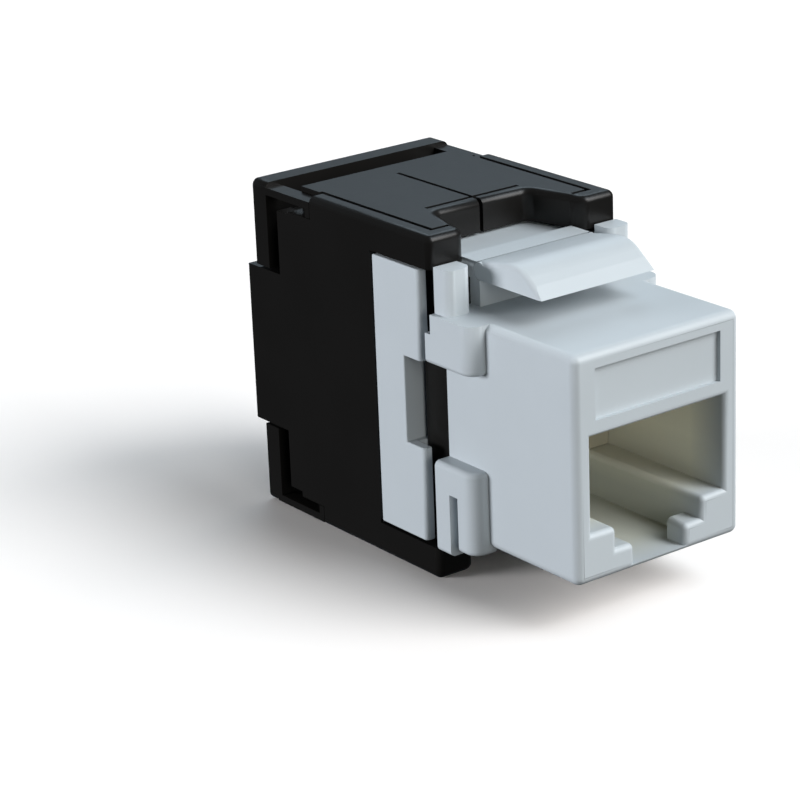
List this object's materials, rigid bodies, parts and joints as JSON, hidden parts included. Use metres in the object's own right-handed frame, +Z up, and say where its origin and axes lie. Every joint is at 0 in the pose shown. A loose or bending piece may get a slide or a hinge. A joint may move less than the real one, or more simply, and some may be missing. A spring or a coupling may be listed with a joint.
{
  "type": "ethernet jack",
  "caption": "Snap-in ethernet jack with a modular plug socket, a springy release latch, wire terminals on a circuit board and a press-on wire cap with a cable bore.",
  "frame": {"origin": "on the surface the jack stands on, under the middle of its footprint", "axes": "+Y runs from the socket's front face to the cable end, +Z is up towards the release latch, +X is across"},
  "size_m": [0.0172, 0.0354, 0.0249],
  "materials": {
    "white_plastic": "fine satin moulded ABS",
    "carrier_plastic": "satin moulded PBT",
    "contact_plating": "polished gold plate over phosphor bronze",
    "board_laminate": "black solder mask over glass laminate",
    "terminal_metal": "tin plate over phosphor bronze",
    "black_plastic": "satin moulded ABS with a fine grain"
  },
  "bodies": {
    "jack_body": {"front_housing": "white_plastic", "contact_carrier": "carrier_plastic", "contact_comb": "carrier_plastic", "contact_1": "contact_plating", "contact_2": "contact_plating", "contact_3": "contact_plating", "contact_4": "contact_plating", "contact_5": "contact_plating", "contact_6": "contact_plating", "contact_7": "contact_plating", "contact_8": "contact_plating", "board_frame": "black_plastic", "circuit_board": "board_laminate", "terminal_block": "white_plastic", "idc_terminal_1": "terminal_metal", "idc_terminal_2": "terminal_metal", "idc_terminal_3": "terminal_metal", "idc_terminal_4": "terminal_metal", "idc_terminal_5": "terminal_metal", "idc_terminal_6": "terminal_metal", "idc_terminal_7": "terminal_metal", "idc_terminal_8": "terminal_metal"},
    "latch": {"release_latch": "white_plastic"},
    "wire_cap": {"rear_shell": "black_plastic", "wire_guide": "black_plastic", "cable_frame": "black_plastic"}
  },
  "joints": [
    {"name": "cap_slide", "type": "slide", "parent": "jack_body", "child": "wire_cap", "axis": [0, 1, 0], "range_m": [0, 0.01]},
    {"name": "latch_press", "type": "hinge", "parent": "jack_body", "child": "latch", "pos_m": [0, -0.00535, 0.02212], "axis": [1, 0, 0], "range_deg": [0, 14], "stiffness_Nm_per_rad": 0.02}
  ]
}
